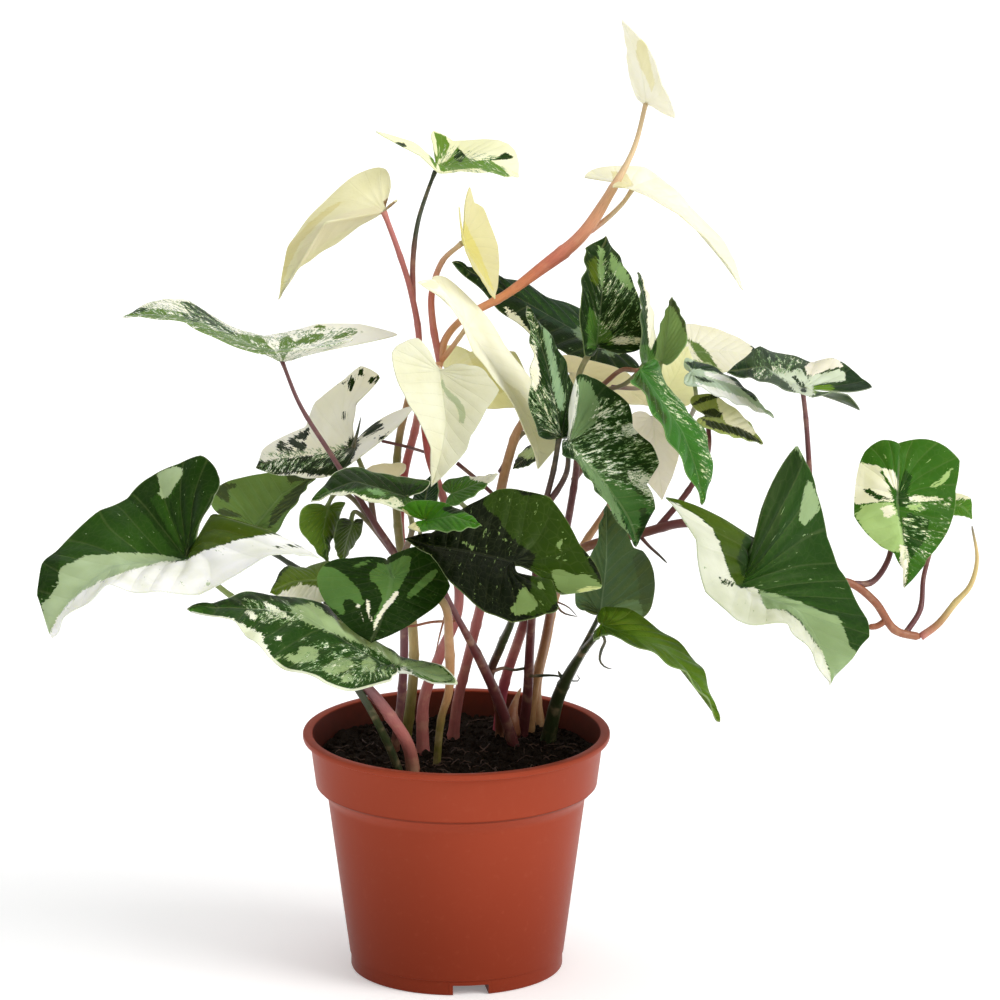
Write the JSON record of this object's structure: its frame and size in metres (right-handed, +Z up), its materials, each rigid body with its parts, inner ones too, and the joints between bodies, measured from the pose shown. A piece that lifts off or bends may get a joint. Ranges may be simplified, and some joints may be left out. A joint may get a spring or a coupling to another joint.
{
  "type": "potted arrowhead plant",
  "caption": "Variegated arrowhead vine with cream and dark green arrow-shaped leaves on slender reddish stems, growing in a round tapered plastic nursery pot.",
  "frame": {"origin": "middle of the pot's underside, on the floor it stands on", "axes": "+Z is up along the pot's axis, +X is to the right of the plant's front, and the front faces -Y"},
  "size_m": [0.3645, 0.2091, 0.3713],
  "materials": {
    "terracotta_plastic": "satin",
    "potting_soil": "matte",
    "stem": "satin",
    "green_leaf": "satin",
    "cream_leaf": "satin"
  },
  "bodies": {
    "root": {"leaf_big_left": "green_leaf", "leaf_big_right": "green_leaf", "leaf_bright_small": "green_leaf", "leaf_cream_back": "cream_leaf", "leaf_cream_back_centre": "cream_leaf", "leaf_cream_back_right": "cream_leaf", "leaf_cream_behind_heart": "cream_leaf", "leaf_cream_heart": "cream_leaf", "leaf_cream_strip": "cream_leaf", "leaf_curled_left": "green_leaf", "leaf_dark_centre": "green_leaf", "leaf_dark_long": "green_leaf", "leaf_dark_upright": "green_leaf", "leaf_drooping_cream": "cream_leaf", "leaf_drooping_front": "green_leaf", "leaf_front_facing": "green_leaf", "leaf_front_left": "green_leaf", "leaf_grey_underside": "green_leaf", "leaf_hanging_green": "green_leaf", "leaf_hanging_left": "green_leaf", "leaf_long_cream": "cream_leaf", "leaf_marbled_big": "green_leaf", "leaf_marbled_narrow": "green_leaf", "leaf_narrow_centre": "green_leaf", "leaf_olive_left": "green_leaf", "leaf_olive_right": "green_leaf", "leaf_pale_left": "cream_leaf", "leaf_pale_right": "cream_leaf", "leaf_right_heart": "green_leaf", "leaf_right_umbrella": "green_leaf", "leaf_sage_left": "green_leaf", "leaf_sage_upright": "green_leaf", "leaf_shelf_left": "green_leaf", "leaf_small_behind": "green_leaf", "leaf_small_centre": "green_leaf", "leaf_small_top": "cream_leaf", "leaf_speckled": "green_leaf", "leaf_thin_upright": "green_leaf", "leaf_tiny_right": "green_leaf", "leaf_top": "cream_leaf", "leaf_wing_left": "green_leaf", "leaf_yellow": "cream_leaf", "leaf_yellow_tuck": "cream_leaf", "nursery_pot": "terracotta_plastic", "petiole_bright_small": "stem", "petiole_dark_centre": "stem", "petiole_front_facing": "stem", "petioles_front_left": "stem", "petioles_front_right": "stem", "runner_right": "stem", "shoot_left": "stem", "shoot_pale": "stem", "soil": "potting_soil", "spike_leaf": "stem", "stem_back": "stem", "stem_back_right": "stem", "stem_centre": "stem", "stem_marbled": "stem", "vine_main": "stem"}
  },
  "joints": []
}
